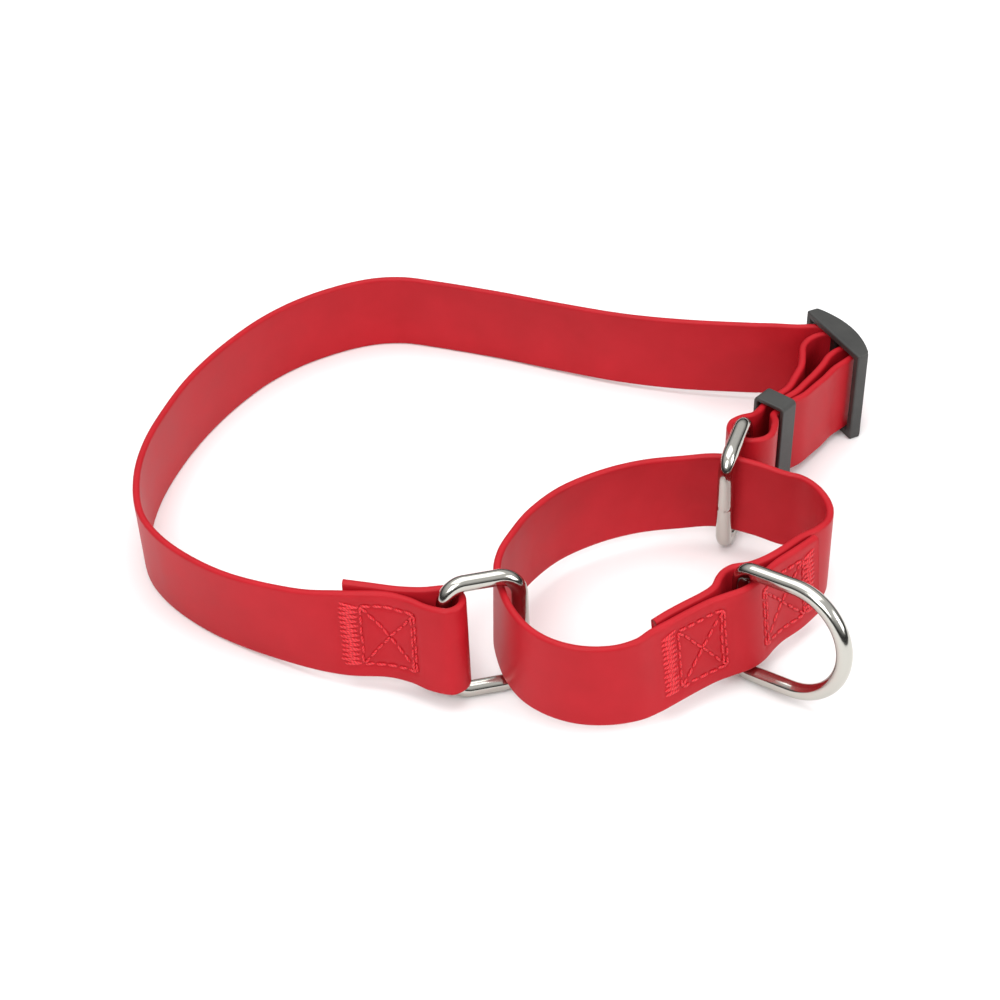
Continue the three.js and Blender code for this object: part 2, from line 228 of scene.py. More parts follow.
@dataclass(frozen=True)
class MouldedAcetal:
    """Black acetal, injection moulded in a lightly sparked tool: dark grey, matte, finely pitted."""

    colour: str = "30302F"
    worn: str = "3B3B39"
    roughness: float = 0.5
    pit_mm: float = 0.3

    def material(self) -> bpy.types.Material:
        """Returns the moulded plastic's material."""
        material, shader = new_material("Acetal, injection moulded", {"IOR": 1.48, "Specular IOR Level": 0.5})
        tree = material.node_tree
        place = add_node(tree, "ShaderNodeTexCoord").outputs["Object"]
        pits = add_node(
            tree,
            "ShaderNodeTexNoise",
            inputs={"Vector": place, "Scale": 1 / (self.pit_mm * MM), "Detail": 2.0},
        ).outputs["Fac"]
        cloud = add_node(tree, "ShaderNodeTexNoise", inputs={"Vector": place, "Scale": 120.0, "Detail": 2.0})
        colour = add_node(
            tree,
            "ShaderNodeValToRGB",
            inputs={"Fac": cloud.outputs["Fac"]},
            stops={0.35: linear(self.colour), 0.75: linear(self.worn)},
        )
        tree.links.new(colour.outputs["Color"], shader.inputs["Base Color"])
        gloss = add_node(
            tree,
            "ShaderNodeMapRange",
            inputs={"Value": pits, "To Min": self.roughness - 0.06, "To Max": self.roughness + 0.08},
        )
        tree.links.new(gloss.outputs["Result"], shader.inputs["Roughness"])
        bump = add_node(
            tree,
            "ShaderNodeBump",
            inputs={"Height": pits, "Strength": 0.25, "Distance": 0.1 * MM},
        )
        tree.links.new(bump.outputs["Normal"], shader.inputs["Normal"])
        return material


@dataclass(frozen=True)
class BondedThread:
    """Bonded polyester thread: a brighter red than the coat, its twisted plies crossing each stitch, with
    painted shade in the grooves between the plies.
    """

    colour: str = "DE2833"
    # darker red: painted shade for the grooves between the twisted plies, not a second dye
    ply_groove_shade: str = "AC1822"
    twist_mm: float = 0.45

    def material(self) -> bpy.types.Material:
        """Returns the thread's material, its plies drawn as slanting bands along each stitch: the darker
        colour is painted shade in the grooves between plies, and the same bands drive the bump.
        """
        material, shader = new_material(
            "Bonded polyester thread, twisted",
            {"Roughness": 0.45, "Specular IOR Level": 0.4},
        )
        tree = material.node_tree
        along = add_node(tree, "ShaderNodeUVMap", {"uv_map": "UVMap"}).outputs["UV"]
        plies = add_node(
            tree,
            "ShaderNodeTexWave",
            {"wave_type": "BANDS", "bands_direction": "DIAGONAL"},
            {"Vector": along, "Scale": 0.3 / (self.twist_mm * MM), "Distortion": 0.4},
        ).outputs["Fac"]
        # colour ramp: painted shade in the ply grooves, the thread's own red on the plies
        colour = add_node(
            tree,
            "ShaderNodeValToRGB",
            inputs={"Fac": plies},
            stops={0.1: linear(self.ply_groove_shade), 0.6: linear(self.colour)},
        )
        tree.links.new(colour.outputs["Color"], shader.inputs["Base Color"])
        bump = add_node(
            tree,
            "ShaderNodeBump",
            inputs={"Height": plies, "Strength": 0.4, "Distance": 0.1 * MM},
        )
        tree.links.new(bump.outputs["Normal"], shader.inputs["Normal"])
        return material


# ---- Meshes from grids -------------------------------------------------------


def grid_faces(rows: int, columns: int, closed_rows: bool) -> np.ndarray:
    """Quads of a grid whose columns close into a loop.

    Args:
        rows: points along the grid.
        columns: points round it.
        closed_rows: whether the last row joins the first.

    Returns:
        Vertex numbers, four to a face.
    """
    last = rows if closed_rows else rows - 1
    row, column = np.meshgrid(np.arange(last), np.arange(columns), indexing="ij")
    after = (row + 1) % rows
    beside = (column + 1) % columns
    here, there = row * columns, after * columns
    corners = [here + column, there + column, there + beside, here + beside]
    return np.stack(corners, axis=-1).reshape(-1, 4)


def make_mesh(name: str, points: np.ndarray, faces: list, uv: np.ndarray | None = None) -> bpy.types.Object:
    """Makes a smooth-shaded object; its faces are turned outwards by the sign of its volume.

    Args:
        name: the object's name.
        points: one point a row, in millimetres.
        faces: vertex numbers of each face.
        uv: one UV pair for each point.

    Returns:
        The object, at the origin.
    """
    mesh = bpy.data.meshes.new(name)
    mesh.from_pydata((points * MM).tolist(), [], faces)
    mesh.update()
    mesh.calc_loop_triangles()
    corner = np.empty(len(mesh.loop_triangles) * 3, dtype=np.int32)
    mesh.loop_triangles.foreach_get("vertices", corner)
    a, b, c = points[corner.reshape(-1, 3)].transpose(1, 0, 2)
    if np.einsum("ij,ij->", a, np.cross(b, c)) < 0:
        mesh.flip_normals()
    mesh.shade_smooth()
    if uv is not None:
        owner = np.empty(len(mesh.loops), dtype=np.int32)
        mesh.loops.foreach_get("vertex_index", owner)
        layer = mesh.uv_layers.new(name="UVMap")
        layer.data.foreach_set("uv", (uv[owner] * MM).astype(np.float32).ravel())
    piece = bpy.data.objects.new(name, mesh)
    bpy.context.scene.collection.objects.link(piece)
    return piece


def round_edges(piece: bpy.types.Object, width_mm: float, segments: int) -> None:
    """Rounds a piece's sharp edges with a bevel of the given width."""
    bevel = piece.modifiers.new("edge rounding", "BEVEL")
    bevel.width = width_mm * MM
    bevel.segments = segments
    bevel.limit_method = "ANGLE"
    bevel.angle_limit = math.radians(40)
    bevel.harden_normals = True


def dress(piece: bpy.types.Object, material: bpy.types.Material, body: str, slot: Slot, *nodes: str) -> None:
    """Gives a piece its material and its body, and hides the nodes it stands for.

    Args:
        piece: the object.
        material: its finish.
        body: the body it rides on.
        slot: the record's material slot; not used.
        nodes: the frame's nodes that it replaces.
    """
    piece.data.materials.append(material)
    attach(piece, body)
    if nodes:
        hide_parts(*nodes)
    log.info("%s rides on %s", piece.name, body)


# ---- Strap routes ------------------------------------------------------------


def from_place(origin: tuple, heading: float, u: float, v: float) -> tuple[float, float]:
    """A plan point u along a heading in degrees and v to its left, counted from an origin."""
    turn = math.radians(heading)
    return (
        origin[0] + u * math.cos(turn) - v * math.sin(turn),
        origin[1] + u * math.sin(turn) + v * math.cos(turn),
    )


def at_slider(u: float, v: float, base: float = 2.5) -> Knot:
    """A knot beside the slider: u along its inner chord, v outward from it."""
    return (*from_place(SLIDER_CENTRE, SLIDER_HEADING, u, v), base, 0.0, 0.0)


def at_keeper(u: float, v: float, base: float = 2.5) -> Knot:
    """A knot beside the keeper: u along the straps in it, v towards the inside of the collar."""
    return (*from_place(KEEPER_CENTRE, KEEPER_HEADING, u, v), base, 0.0, 0.0)


def at_pocket(u: float, v: float, base: float = 5.2, lean: float = 4.0) -> Knot:
    """A knot beside the D-ring's bar: u along the strap, v and its lean towards the inside of the loop."""
    return (
        *from_place(D_CENTRE, POCKET_HEADING, u, v),
        base,
        *from_place((0.0, 0.0), POCKET_HEADING, 0.0, lean),
    )


def arc_knots(
    centre: tuple,
    radius: float,
    first: float,
    last: float,
    count: int,
    base: float,
    lean: tuple,
) -> list[Knot]:
    """Knots on an arc.

    Args:
        centre: its centre in plan.
        radius: its radius.
        first: the first angle in degrees.
        last: the last angle in degrees.
        count: the number of steps.
        base: the height of the strap's lower edge.
        lean: how far the upper edge leans from the lower one.

    Returns:
        The knots.
    """
    angles = np.radians(np.linspace(first, last, count + 1))
    return [(centre[0] + radius * math.cos(a), centre[1] + radius * math.sin(a), base, *lean) for a in angles]


class StrapRoute:
    """The middle of a strap on edge: a spline through knots of plan point, base height and lean."""

    def __init__(self, knots: list[Knot], steps: int = 24) -> None:
        """Samples the spline: between two knots, the cubic whose slopes are half the neighbours' chord.

        Args:
            knots: x, y, base height, lean x and lean y.
            steps: samples between two knots.
        """
        p = np.array(knots)
        p = np.vstack([2 * p[0] - p[1], p, 2 * p[-1] - p[-2]])
        t = np.linspace(0, 1, steps, endpoint=False)[None, :, None]
        a, b, c, d = p[:-3, None], p[1:-2, None], p[2:-1, None], p[3:, None]
        curve = b + 0.5 * t * ((c - a) + t * (2 * a - 5 * b + 4 * c - d + t * (3 * (b - c) + d - a)))
        self.samples = np.vstack([curve.reshape(-1, 5), p[-2]])
        gaps = np.linalg.norm(np.diff(self.samples[:, :3], axis=0), axis=1)
        self.distance = np.concatenate([[0], np.cumsum(gaps)])
        self.length = float(self.distance[-1])
        slope = np.gradient(self.samples[:, :2], axis=0)
        slope /= np.linalg.norm(slope, axis=1, keepdims=True)
        self.side = np.stack([-slope[:, 1], slope[:, 0]], axis=1)

    def place(self, along: np.ndarray, height: np.ndarray, offset: np.ndarray) -> np.ndarray:
        """Maps strap coordinates to the collar.

        A point is the route's middle, plus the offset along the side normal, plus the lean times its height
        above the strap's middle, with the base height added.

        Args:
            along: distance along the route.
            height: height on the strap.
            offset: distance off the strap's middle.

        Returns:
            Points in millimetres, with a last axis of three.
        """
        x, y, base, lean_x, lean_y = (np.interp(along, self.distance, column) for column in self.samples.T)
        side_x, side_y = (np.interp(along, self.distance, column) for column in self.side.T)
        rise = height / STRAP_WIDTH - 0.5
        return np.stack(
            [x + side_x * offset + lean_x * rise, y + side_y * offset + lean_y * rise, base + height],
            axis=-1,
        )


# ---- Stitching ---------------------------------------------------------------


@dataclass
class Seam:
    """A sewn box with a cross in it and the bartack beside it, in strap coordinates."""

    route: StrapRoute
    box: float
    bartack: float
    face: int
    length: float = 15.5
    low: float = 4.2
    height: float = 17.0
    tack_length: float = 5.2
    tack_low: float = 3.8
    tack_height: float = 18.0
    strokes: int = 26
    pitch: float = 2.9
    thread: float = 0.36
    groove: float = 0.36
    groove_width: float = 0.65
    tack_groove: float = 0.2
    second_row: float = 1.1
    doubled_at_start: bool = True

    def lines(self) -> np.ndarray:
        """Returns the box's stitch lines as start and end points, along and up the strap."""
        a, b = self.box, self.box + self.length
        c, d = self.low, self.low + self.height
        near = a + self.second_row if self.doubled_at_start else b - self.second_row
        rows = [
            ((a, c), (b, c)),
            ((b, c), (b, d)),
            ((b, d), (a, d)),
            ((a, d), (a, c)),
            ((a, c), (b, d)),
            ((a, d), (b, c)),
            ((near, d - 0.6), (near, c + 0.6)),
        ]
        return np.array(rows)

    def stitches(self) -> tuple[np.ndarray, np.ndarray, np.ndarray]:
        """Returns each stitch's middle, half vector and half width: box dashes, then bartack strokes."""
        middles, halves, widths = [], [], []
        pull = np.random.default_rng(int(10 * self.box))
        for start, end in self.lines():
            span = end - start
            count = max(2, round(float(np.linalg.norm(span)) / self.pitch))
            share = (np.arange(count) + 0.5)[:, None] / count
            stray = pull.uniform(-0.13, 0.13, (2, count, 2))
            middles.append(start + share * span + stray[0])
            halves.append(0.4 * span / count + stray[1])
            widths.append(np.full(count, self.thread))
        if not self.strokes:
            return np.vstack(middles), np.vstack(halves), np.concatenate(widths)
        number = np.arange(self.strokes)
        stray = pull.uniform(-0.35, 0.35, (self.strokes, 2))
        level = self.tack_low + (number + 0.5) * self.tack_height / self.strokes
        slant = np.where(number % 2, 1.0, -0.15) * self.tack_height / self.strokes
        middles.append(np.stack([self.bartack + self.tack_length / 2 + stray[:, 0], level], axis=1))
        halves.append(np.stack([self.tack_length / 2 + 0.5 * stray[:, 1], slant], axis=1))
        widths.append(np.where(number % 2, 0.34, 0.4))
        return np.vstack(middles), np.vstack(halves), np.concatenate(widths)

    def dent(self, along: np.ndarray, height: np.ndarray) -> np.ndarray:
        """How deep the coat is drawn in near the thread: a rounded groove along each stitch line.

        Args:
            along: distance along the strap.
            height: height on the strap.

        Returns:
            Depth in millimetres.
        """
        depth = np.zeros(np.broadcast(along, height).shape)
        for start, end in self.lines():
            span = end - start
            share = ((along - start[0]) * span[0] + (height - start[1]) * span[1]) / float(span @ span)
            share = np.clip(share, 0, 1)
            far = np.hypot(along - start[0] - share * span[0], height - start[1] - share * span[1])
            depth = np.maximum(depth, self.groove * np.exp(-((far / self.groove_width) ** 2)))
        if not self.strokes:
            return depth
        half_length, half_height = self.tack_length / 2, self.tack_height / 2
        reach = np.clip(np.abs(along - self.bartack - half_length) - half_length, 0, None)
        rise = np.clip(np.abs(height - self.tack_low - half_height) - half_height, 0, None)
        return np.maximum(depth, self.tack_groove * np.exp(-(np.hypot(reach, rise) ** 2)))

    def build(self, name: str) -> bpy.types.Object:
        """Makes every stitch of the seam as one piece.

        Each stitch is a stretched ball: its long axis follows the stitch, and it stands half out of the face.

        Args:
            name: the piece's name.

        Returns:
            The piece.
        """
        middles, halves, widths = self.stitches()
        rows, columns = 9, 8
        polar = np.linspace(0.12, math.pi - 0.12, rows)
        round_ = np.linspace(0, 2 * math.pi, columns, endpoint=False)
        body = np.sign(np.cos(polar)) * np.abs(np.cos(polar)) ** 0.75
        waist = np.sin(polar) ** 0.5
        long = np.repeat(body, columns)
        wide = np.outer(waist, np.cos(round_)).ravel()
        deep = np.outer(waist, np.sin(round_)).ravel()
        unit = halves / np.linalg.norm(halves, axis=1, keepdims=True)
        across = np.stack([-unit[:, 1], unit[:, 0]], axis=1) * widths[:, None]
        spots = middles[:, None] + long[:, None] * halves[:, None] + wide[:, None] * across[:, None]
        sunk = 0.16 * (1 - long**2)
        lift = STRAP_THICKNESS / 2 - 0.22 + 0.34 * deep[None] * (widths[:, None] / self.thread) + sunk[None]
        points = self.route.place(spots[..., 0], spots[..., 1], self.face * lift).reshape(-1, 3)
        one = grid_faces(rows, columns, False)
        size = rows * columns
        starts = np.arange(len(middles)) * size
        faces = (one[None] + starts[:, None, None]).reshape(-1, 4).tolist()
        ends = np.arange(columns)
        faces += (starts[:, None] + ends[::-1][None]).tolist()
        faces += (starts[:, None] + ends[None] + size - columns).tolist()
        length = np.linalg.norm(halves, axis=1)[:, None]
        girth = np.tile(round_, rows)[None] * widths[:, None]
        uv = np.stack([long[None] * length, girth], axis=-1).reshape(-1, 2)
        return make_mesh(name, points, faces, uv)


# ---- Straps ------------------------------------------------------------------


@dataclass
class Strap:
    """A coated strap on edge with softly rounded edges, drawn in along its seams."""

    name: str
    route: StrapRoute
    seams: list[Seam]
    step: float = 0.7
    across: int = 43
    edge: float = 0.7

    def section(self) -> tuple[np.ndarray, np.ndarray]:
        """Returns the section's offset and height: two flat faces joined by rounded edges."""
        half = STRAP_THICKNESS / 2
        flat = np.linspace(self.edge, STRAP_WIDTH - self.edge, self.across)
        turn = np.linspace(0, math.pi, 9)[1:-1]
        top_offset = -half * np.cos(turn)
        top_height = STRAP_WIDTH - self.edge + self.edge * np.sin(turn)
        face = np.full(flat.size, half)
        offset = np.concatenate([-face, top_offset, face, -top_offset])
        height = np.concatenate([flat, top_height, flat[::-1], STRAP_WIDTH - top_height])
        return offset, height

    def build(self) -> bpy.types.Object:
        """Carries the section along the route, less the dents of the seams, and closes both cut ends."""
        rows = round(self.route.length / self.step)
        along = np.linspace(0, self.route.length, rows)[:, None]
        offset, height = self.section()
        dents = np.zeros((rows, offset.size))
        for seam in self.seams:
            on_face = np.sign(offset) == seam.face
            dents += np.where(on_face[None], seam.dent(along, height[None]), 0) * seam.face
        points = self.route.place(along, height[None], offset[None] - dents).reshape(-1, 3)
        faces = grid_faces(rows, offset.size, False).tolist()
        ends = np.arange(offset.size)
        faces += [ends[::-1].tolist(), (ends + (rows - 1) * offset.size).tolist()]
        uv = np.stack(np.broadcast_arrays(along, height[None]), axis=-1).reshape(-1, 2)
        return make_mesh(self.name, points, faces, uv)


def neck_route() -> StrapRoute:
    """Returns the neck strap's route: sewn end, left ring, neck, slider, keeper, right ring and back."""
    knots = [
        (-43, -64.9, 4.9, *RING_LEAN),
        (-36, -66.3, 4.9, *RING_LEAN),
        (-29, -67.7, 4.9, *RING_LEAN),
        (-22.5, -68.1, 4.9, *RING_LEAN),
        *arc_knots(LEFT_FOLD, 4.6, 90, -90, 6, 5.3, RING_LEAN),
        (-21.5, -74.9, 4.9, *RING_LEAN),
        (-26.5, -71.7, 4.8, *RING_LEAN),
        (-33, -69.2, 4.5, *RING_LEAN),
        (-44, -67.3, 3.3, -1.2, 4),
        (-56, -63, 1.6, -0.4, 1.2),
        (-72, -55.2, 0.4, -0.7, -1),
        (-84, -47, 0, -1.3, -1.3),
        (-94, -37, 0, -1.6, -1.2),
        (-100.2, -25.9, 0, -1.5, -0.5),
        (-102.9, -11, 0, -0.8, 0),
        (-102.2, 4, 0, -0.4, 0),
        (-98.9, 19, 0, 0, 0),
        (-93.2, 35.7, 0, 0, 0),
        (-85, 52, 0, 0.4, -0.3),
        (-74.3, 67.3, 0, 0.7, -0.7),
        (-62, 78.6, 0, 0.7, -0.9),
        (-47, 86.9, 0, 0.4, -1.1),
        (-34.5, 89.2, 0, 0, -1.2),
        (-22, 86.6, 0, -0.3, -1.2),
        (-3, 80.7, 0.1, -0.4, -1.1),
        (15.5, 73.6, 0.5, -0.3, -0.8),
        (34, 67, 1, 0, -0.4),
        (52, 62.7, 1.6, 0, 0),
        (70.5, 60.1, 2.2, 0, 0),
        (79, 59.2, 2.5, 0, 0),
        (85.6, 58.6, 2.5, 0, 0),
        at_slider(-9.8, -0.8),
        at_slider(-8.4, 1.7),
        at_slider(-6.8, 4),
        at_slider(-4.7, 5.9),
        at_slider(-2.3, 7),
        at_slider(0, 7.3),
        at_slider(2.3, 7),
        at_slider(4.7, 5.9),
        at_slider(6.8, 4.2),
        at_slider(8.6, 2.1),
        at_slider(9.7, -0.4),
        at_slider(10.6, -3.2),
        at_slider(12, -7),
        at_slider(14.5, -11.6),
        at_slider(16.8, -16.6),
        at_slider(19, -21.6),
        at_keeper(5, -2.6),
        at_keeper(0, -2.4),
        at_keeper(-4, -2.5, 2.7),
        (74.5, 9, 4.1, 0, 0),
        (73.8, 4.2, 5.5, 0, 0),
        (72.6, 0, 6, 0, 0),
        (70, -2.5, 6.1, 0, 0),
        (66.4, -3.2, 6.1, 0, 0),
        (63, -1.7, 6.1, 0, 0),
        (61.2, 1.7, 6.1, 0, 0),
        (62, 5.5, 6, 0, 0),
        (64.8, 8.4, 5.6, 0, 0),
        (68, 10.9, 4.6, 0, 0),
        (70, 14.2, 3.3, 0, 0),
        at_keeper(-1, 2.4),
        at_keeper(4, 2.4),
        at_slider(13.8, -23.8),
        at_slider(10, -18.9),
        at_slider(5.9, -14.2),
        at_slider(1.8, -11.2),
        at_slider(-1.8, -8.7),
        at_slider(-4, -5.6),
        at_slider(-4.9, -2),
        at_slider(-4.3, 1.3),
        at_slider(-3, 3.5),
        at_slider(-1.5, 4.6),
        at_slider(0, 4.9),
        at_slider(1.5, 4.6),
        at_slider(3, 3.5),
        at_slider(4, 1.3),
        at_slider(4.6, -1.8),
        at_slider(6, -5),
        at_slider(8.6, -8.6),
        at_slider(11.3, -13),
        at_slider(14, -18),
        at_slider(16.5, -22.8),
        at_keeper(3.4, 0),
    ]
    return StrapRoute(knots)


def control_route() -> StrapRoute:
    """Returns the control loop's route: inner end, round the loop, and back over the D-ring's bar."""
    knots = [
        at_pocket(-28.3, 0.4, 5),
        at_pocket(-23.2, 0.6),
        at_pocket(-17.5, 0.6),
        at_pocket(-11.5, 0.5),
        at_pocket(-7.2, 1),
        at_pocket(-3.6, 3),
        at_pocket(-0.5, 4.1),
        at_pocket(2.6, 3.9),
        at_pocket(6.2, 2.2),
        at_pocket(11, 1.4),
        at_pocket(17, 1.5),
        at_pocket(24.9, 2.9, 5, 3),
        (81.9, -41.2, 4.8, -1.2, 1),
        (84.8, -36.6, 4.8, -0.4, 0.2),
        (85.4, -30.6, 4.8, 0, 0),
        (83.4, -23.8, 4.8, 0, 0),
        (79.6, -18.8, 4.8, 0, 0),
        (74.2, -16.2, 4.8, 0, 0),
        (67, -13.1, 5.6, 0, 0),
        (57.5, -10.1, 5.9, 0, 0),
        (47.1, -9.7, 4.8, 0, 0),
        (36, -11.6, 4.8, 0, 0),
        (24.6, -16.1, 4.8, 0, 0),
        (13.4, -23.6, 4.8, 0, 0),
        (5.2, -33.2, 4.8, 0, 0),
        (0, -43, 4.8, 0, 0),
        (-2.8, -50.2, 4.8, 0, 0),
        (-3.8, -57.6, 4.8, 0, 0),
        (-2.8, -65.6, 5.1, 0.3, 0),
        (-0.6, -73.4, 5.1, 0.5, 0.2),
        (3.5, -80.6, 4.8, 0.5, 0.5),
        (9.5, -86, 4.8, 0.2, 0.7),
        (17, -89, 4.8, 0, 1),
        (25, -89.2, 4.8, -0.4, 1.4),
        (31.8, -87.2, 4.9, -1.5, 2.2),
        at_pocket(-30.9, -2.2, 5),
        at_pocket(-24.7, -2.4),
        at_pocket(-17.9, -2.4),
        at_pocket(-11.5, -2.7),
        at_pocket(-6.5, -3.6),
        at_pocket(-2.5, -4.4),
        at_pocket(1, -4.5),
        at_pocket(4.5, -3.8),
        at_pocket(8.4, -2.5),
        at_pocket(13, -1.5),
        at_pocket(19.9, -0.9),
        at_pocket(27.8, 0.5, 5, 3),
    ]
    return StrapRoute(knots)


# ---- Wire rings --------------------------------------------------------------


@dataclass
class WireRing:
    """A ring of round wire, bent to a closed path in its own upright plane."""

    name: str
    centre: tuple[float, float, float]
    heading: float
    lean: float = 0.0
    tilt: float = 0.0
    wire: float = 2.2
    weld: float | None = None

    def path(self) -> np.ndarray:
        """Returns corner points as centre x, centre z, radius and first angle in degrees, then the turn."""
        raise NotImplementedError

    def centre_line(self, count: int = 260) -> tuple[np.ndarray, np.ndarray]:
        """Joins the path's arcs by straight runs and samples them evenly.

        Args:
            count: samples round the ring.

        Returns:
            Points and unit directions in the ring's plane.
        """
        arcs = []
        for x, z, radius, first, turn in self.path():
            angle = np.radians(first + np.linspace(0, turn, 40))
            arcs.append(np.stack([x + radius * np.cos(angle), z + radius * np.sin(angle)], axis=1))
        line = np.vstack([*arcs, arcs[0][:1]])
        run = np.concatenate([[0], np.cumsum(np.linalg.norm(np.diff(line, axis=0), axis=1))])
        even = np.linspace(0, run[-1], count, endpoint=False)
        points = np.stack([np.interp(even, run, line[:, 0]), np.interp(even, run, line[:, 1])], axis=1)
        way = np.roll(points, -1, axis=0) - np.roll(points, 1, axis=0)
        return points, way / np.linalg.norm(way, axis=1, keepdims=True)

    def to_collar(self, points: np.ndarray) -> np.ndarray:
        """Turns points of the ring's plane by its tilt, lean and heading, and moves them to its centre."""
        h, a, b = (math.radians(v) for v in (self.heading, -self.lean, -self.tilt))
        about_z = np.array([[math.cos(h), -math.sin(h), 0], [math.sin(h), math.cos(h), 0], [0, 0, 1]])
        about_x = np.array([[1, 0, 0], [0, math.cos(a), -math.sin(a)], [0, math.sin(a), math.cos(a)]])
        about_y = np.array([[math.cos(b), 0, math.sin(b)], [0, 1, 0], [-math.sin(b), 0, math.cos(b)]])
        return points @ (about_z @ about_x @ about_y).T + np.array(self.centre)

    def build(self) -> bpy.types.Object:
        """Sweeps a circle round the centre line; the wire narrows a little at the weld's groove."""
        line, way = self.centre_line()
        around = np.linspace(0, 2 * math.pi, 36, endpoint=False)
        radius = np.full(len(line), self.wire)
        if self.weld is not None:
            far = np.hypot(line[:, 0] - self.weld, line[:, 1])
            radius -= 0.22 * np.exp(-((far / 0.35) ** 2)) - 0.06 * np.exp(-(((far - 1.1) / 0.6) ** 2))
        out = radius[:, None] * np.cos(around)[None]
        x = line[:, :1] + way[:, 1:] * out
        y = -radius[:, None] * np.sin(around)[None]
        z = line[:, 1:] - way[:, :1] * out
        points = self.to_collar(np.stack([x, y, z], axis=-1).reshape(-1, 3))
        return make_mesh(self.name, points, grid_faces(len(line), around.size, True).tolist())


@dataclass
class RectangleRing(WireRing):
    """A rectangular ring with its long bars upright."""

    height: float = 31.6
    width: float = 20.0
    corner: float = 5.5

    def path(self) -> np.ndarray:
        """Returns its four corners."""
        x, z, r = self.width / 2 - self.corner, self.height / 2 - self.corner, self.corner
        return np.array([(x, -z, r, -90, 90), (x, z, r, 0, 90), (-x, z, r, 90, 90), (-x, -z, r, 180, 90)])


@dataclass
class DRing(WireRing):
    """A D-ring whose straight bar stands in the ring's own Z axis."""

    height: float = 31.0
    leg: float = 16.2
    corner: float = 3.8

    def path(self) -> np.ndarray:
        """Returns its lower corner, its bow and its upper corner."""
        half, r = self.height / 2, self.corner
        return np.array([(r, r - half, r, 180, 90), (self.leg, 0, half, -90, 180), (r, half - r, r, 90, 90)])


# ---- Slider and keeper -------------------------------------------------------


def prism(outlines: np.ndarray, levels: np.ndarray) -> tuple[np.ndarray, list]:
    """Stacks outlines into a closed body.

    Args:
        outlines: one outline for each level, as plan points.
        levels: the heights.

    Returns:
        Points and faces.
    """
    rows, columns = outlines.shape[:2]
    height = np.repeat(levels[:, None], columns, axis=1)[..., None]
    points = np.concatenate([outlines, height], axis=-1).reshape(-1, 3)
    ends = np.arange(columns)
    faces = grid_faces(rows, columns, False).tolist()
    faces += [ends[::-1].tolist(), (ends + (rows - 1) * columns).tolist()]
    return points, faces


def rounded_rectangle(x: tuple, y: tuple, radius: float) -> np.ndarray:
    """Returns an anticlockwise rectangle with rounded corners, from its x and y limits."""
    turn = np.radians(np.linspace(0, 90, 6))
    corners = []
    for i, (cx, cy) in enumerate(((x[1], y[1]), (x[0], y[1]), (x[0], y[0]), (x[1], y[0]))):
        outward = np.sign([cx - sum(x) / 2, cy - sum(y) / 2])
        angle = turn + i * math.pi / 2
        arc = np.stack([np.cos(angle), np.sin(angle)], axis=1)
        corners.append(np.array([cx, cy]) - radius * outward + radius * arc)
    return np.vstack(corners)


@dataclass
class Slider:
    """A three-bar slider: a bowed frame round its window, a plain centre bar, and ribs for grip."""

    half_length: float = 13.8
    height: float = 30.0
    wall: float = 2.2
    end_depth: float = 3.8
    bow_depth: float = 7.2
    bar_width: float = 2.45
    rib_pitch: float = 2.8
    rib_depth: float = 0.22

    def bow(self, u: np.ndarray) -> np.ndarray:
        """Returns how far out the frame's outer face stands at u along its chord: a parabola."""
        return self.end_depth + (self.bow_depth - self.end_depth) * (1 - (u / self.half_length) ** 2)

    def frame(self) -> tuple[np.ndarray, list]:
        """Makes the frame, a closed loop of four-cornered sections round the window.

        The two walls bow outwards, and the two end bars are flat and flush with the walls' ends.

        Returns:
            Points and faces.
        """
        wide = np.linspace(1, -1, 25)[:-1]
        tall = np.linspace(1, -1, 9)[:-1]
        across = np.concatenate([wide, np.full(8, -1.0), -wide, np.ones(8)])
        up = np.concatenate([np.ones(24), tall, -np.ones(24), -tall])
        middle = self.height / 2
        window = self.half_length - self.bar_width
        outer_u, inner_u = self.half_length * across, window * across
        outer_z, inner_z = middle + middle * up, middle + (middle - self.wall) * up
        front = np.where(np.abs(across) == 1, self.end_depth, self.bow(inner_u))
        flat = np.zeros(len(across))
        corners = [
            (outer_u, self.bow(outer_u), outer_z),
            (outer_u, flat, outer_z),
            (inner_u, flat, inner_z),
            (inner_u, front, inner_z),
        ]
        points = np.stack([np.stack(corner, axis=1) for corner in corners], axis=1).reshape(-1, 3)
        return points, grid_faces(len(across), 4, True).tolist()

    def bars(self) -> tuple[np.ndarray, list]:
        """Makes the centre bar, and the ribs across the inner face of each end bar.

        Returns:
            Points and faces.
        """
        ends = (self.wall - 0.3, self.height - self.wall + 0.3)
        parts = [(rounded_rectangle((-1.5, 1.5), (0.3, 2.5), 0.8), ends)]
        window = self.half_length - self.bar_width
        for side in (-1, 1):
            limits = sorted((side * (window - self.rib_depth), side * (window + 0.4)))
            outline = rounded_rectangle(tuple(limits), (0.5, self.end_depth - 0.5), 0.12)
            for step in range(-4, 5):
                level = self.height / 2 + step * self.rib_pitch
                parts.append((outline, (level - 0.55, level + 0.55)))
        points, faces, start = [], [], 0
        for outline, levels in parts:
            some, flat = prism(np.repeat(outline[None], 2, axis=0), np.array(levels))
            faces += [[i + start for i in face] for face in flat]
            points.append(some)
            start += len(some)
        return np.vstack(points), faces

    def build(self) -> list[bpy.types.Object]:
        """Makes the frame as one piece, and the centre bar with the ribs as another."""
        pieces = []
        turn = math.radians(SLIDER_HEADING)
        plan = np.array([[math.cos(turn), math.sin(turn)], [-math.sin(turn), math.cos(turn)]])
        for name, (spots, faces) in (("slider_frame", self.frame()), ("slider_bars", self.bars())):
            places = spots[:, :2] @ plan + np.array(SLIDER_CENTRE)
            pieces.append(make_mesh(name, np.column_stack([places, spots[:, 2]]), faces))
        round_edges(pieces[0], 0.6, 4)
        return pieces


